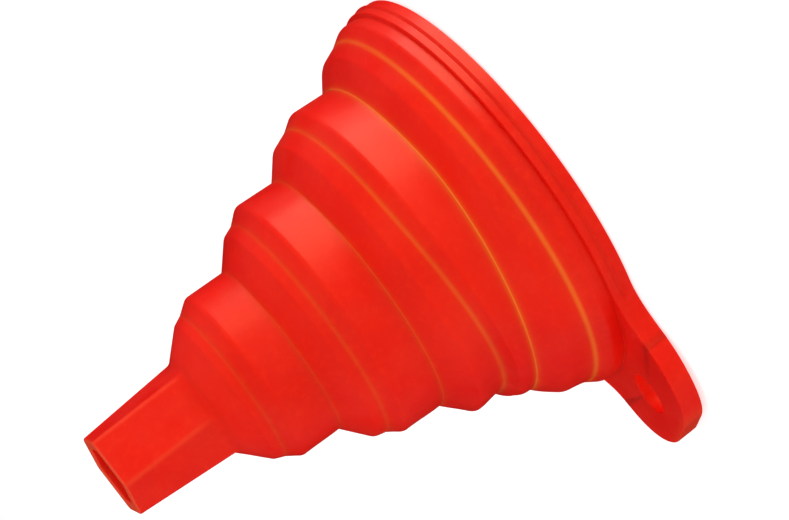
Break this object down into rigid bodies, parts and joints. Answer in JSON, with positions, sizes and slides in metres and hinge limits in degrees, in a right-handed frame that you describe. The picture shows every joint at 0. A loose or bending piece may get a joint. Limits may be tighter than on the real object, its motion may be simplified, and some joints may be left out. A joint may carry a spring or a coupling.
{
  "type": "collapsible funnel",
  "caption": "Collapsible silicone funnel: stepped rings that fold down into each other, a six-sided spout, a rim and a hang tab.",
  "frame": {"origin": "on the rim's flat face, under the middle of the whole part's bounding box; the funnel's own axis is 7.5 mm towards -X", "axes": "+Z from the mouth to the spout tip, +X towards the hang tab, the part standing mouth down"},
  "size_m": [0.09, 0.075, 0.0815],
  "materials": {
    "silicone": "satin translucent silicone"
  },
  "bodies": {
    "rim": {"rim_flange": "silicone", "hang_tab": "silicone", "rim_collar": "silicone", "fold_4": "silicone"},
    "tier_3": {"tier_3_ring": "silicone", "fold_3": "silicone"},
    "tier_2": {"tier_2_ring": "silicone", "fold_2": "silicone"},
    "tier_1": {"tier_1_ring": "silicone", "fold_1": "silicone"},
    "spout": {"spout_tube": "silicone"}
  },
  "joints": [
    {"name": "tier_3_collapse", "type": "slide", "parent": "rim", "child": "tier_3", "axis": [0, 0, -1], "range_m": [0, 0.012], "deforming": ["fold_4"]},
    {"name": "tier_2_collapse", "type": "slide", "parent": "tier_3", "child": "tier_2", "axis": [0, 0, -1], "range_m": [0, 0.0136], "deforming": ["fold_3"]},
    {"name": "tier_1_collapse", "type": "slide", "parent": "tier_2", "child": "tier_1", "axis": [0, 0, -1], "range_m": [0, 0.0118], "deforming": ["fold_2"]},
    {"name": "spout_collapse", "type": "slide", "parent": "tier_1", "child": "spout", "axis": [0, 0, -1], "range_m": [0, 0.011], "deforming": ["fold_1"]}
  ]
}
